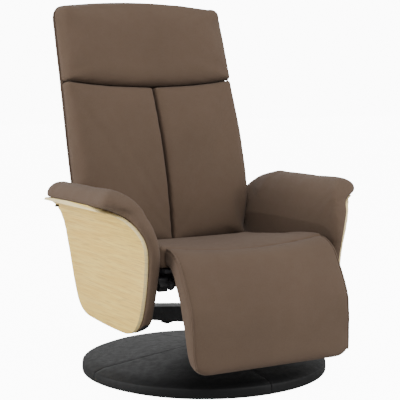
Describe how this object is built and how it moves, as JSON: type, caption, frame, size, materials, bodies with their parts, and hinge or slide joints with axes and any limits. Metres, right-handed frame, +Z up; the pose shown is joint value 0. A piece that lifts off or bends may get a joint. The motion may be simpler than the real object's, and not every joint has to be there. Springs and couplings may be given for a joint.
{
  "type": "swivel recliner armchair",
  "caption": "Swivel recliner armchair with linked leg rest, bent oak-faced arm shells and a round weighted base.",
  "frame": {"origin": "on the swivel axis, at floor level, in the middle of the base's underside", "axes": "+Z up, the chair faces -Y, +X is the sitter's left"},
  "size_m": [0.82, 0.8214, 1.0603],
  "materials": {
    "upholstery": "fine brown weave, matt",
    "base_leatherette": "charcoal leatherette, satin, with quadrant seams",
    "oak_shell": "light oak veneer on bent plywood, clear matt lacquer",
    "plywood": "birch plywood",
    "webbing": "elastic upholstery webbing",
    "felt": "non-slip floor pad",
    "bare_steel": "zinc plated",
    "nylon": "white nylon",
    "black_plastic": "moulded, fine texture",
    "black_steel": "black powder coat"
  },
  "bodies": {
    "base": {"floor_pad": "felt", "base_disc": "black_steel", "base_core": "plywood", "base_cover": "base_leatherette", "base_column": "black_steel", "column_collar": "black_plastic", "thrust_bearing": "bare_steel"},
    "swivel_frame": {"swivel_hub": "black_steel", "cross_beam": "black_steel", "beam_foot_bolt_left": "black_steel", "side_rail_left": "black_steel", "friction_block_left": "bare_steel", "arm_bracket_left": "black_steel", "arm_shell_left": "oak_shell", "arm_pad_left": "upholstery", "arm_lip_button_left": "black_plastic", "beam_foot_bolt_right": "black_steel", "side_rail_right": "black_steel", "friction_block_right": "bare_steel", "arm_bracket_right": "black_steel", "arm_shell_right": "oak_shell", "arm_pad_right": "upholstery", "arm_lip_button_right": "black_plastic"},
    "seat": {"pan_front_board": "black_steel", "pan_rear_board": "black_steel", "seat_webbing_1": "webbing", "seat_webbing_2": "webbing", "seat_webbing_3": "webbing", "seat_cushion": "upholstery", "knee_shaft": "black_steel", "knee_roll": "upholstery", "seat_rear_tube": "black_steel", "pan_side_board_left": "black_steel", "seat_rail_left": "black_steel", "slide_roller_front_left": "nylon", "slide_roller_rear_left": "nylon", "pan_side_board_right": "black_steel", "seat_rail_right": "black_steel", "slide_roller_front_right": "nylon", "slide_roller_rear_right": "nylon"},
    "backrest": {"back_frame": "black_steel", "back_cross_bar": "black_steel", "back_webbing_1": "webbing", "back_webbing_2": "webbing", "back_cushion_left": "upholstery", "back_cushion_right": "upholstery", "headrest_cushion": "upholstery", "lower_back_pad": "upholstery", "rear_panel": "upholstery", "back_tab_left": "black_steel", "back_tab_right": "black_steel"},
    "leg_rest": {"leg_pad": "upholstery", "leg_board": "plywood", "leg_arm_left": "black_steel", "leg_arm_right": "black_steel"},
    "push_rod_left": {"push_rod_left": "black_steel"},
    "push_rod_right": {"push_rod_right": "black_steel"},
    "knob_left": {"hand_knob_left": "black_plastic"},
    "knob_right": {"hand_knob_right": "black_plastic"}
  },
  "joints": [
    {"name": "swivel", "type": "hinge", "parent": "base", "child": "swivel_frame", "pos_m": [0, 0, 0.124], "axis": [0, 0, 1], "continuous": true},
    {"name": "seat_glide", "type": "slide", "parent": "swivel_frame", "child": "seat", "axis": [0, -1, 0], "range_m": [0, 0.0254]},
    {"name": "recline", "type": "hinge", "parent": "seat", "child": "backrest", "pos_m": [0, 0.20768, 0.30078], "axis": [-1, 0, 0], "range_deg": [0, 32]},
    {"name": "leg_rest_lift", "type": "hinge", "parent": "seat", "child": "leg_rest", "pos_m": [0, -0.285, 0.335], "axis": [-1, 0, 0], "range_deg": [0, 65]},
    {"name": "push_rod_swing_left", "type": "hinge", "parent": "leg_rest", "child": "push_rod_left", "pos_m": [0.1885, -0.26458, 0.30295], "axis": [-1, 0, 0], "range_deg": [-65, 0]},
    {"name": "push_rod_swing_right", "type": "hinge", "parent": "leg_rest", "child": "push_rod_right", "pos_m": [-0.1885, -0.26458, 0.30295], "axis": [-1, 0, 0], "range_deg": [-65, 0]},
    {"name": "knob_turn_left", "type": "hinge", "parent": "swivel_frame", "child": "knob_left", "pos_m": [0.25, -0.207, 0.296], "axis": [1, 0, 0], "range_deg": [0, 360]},
    {"name": "knob_turn_right", "type": "hinge", "parent": "swivel_frame", "child": "knob_right", "pos_m": [-0.25, -0.207, 0.296], "axis": [-1, 0, 0], "range_deg": [0, 360]}
  ],
  "couplings": [
    {"joint": "seat_glide", "follows": "recline", "m_per_rad": 0.0454},
    {"joint": "leg_rest_lift", "follows": "recline", "ratio": 2.03},
    {"joint": "push_rod_swing_left", "follows": "recline", "ratio": -2.03},
    {"joint": "push_rod_swing_right", "follows": "recline", "ratio": -2.03}
  ]
}
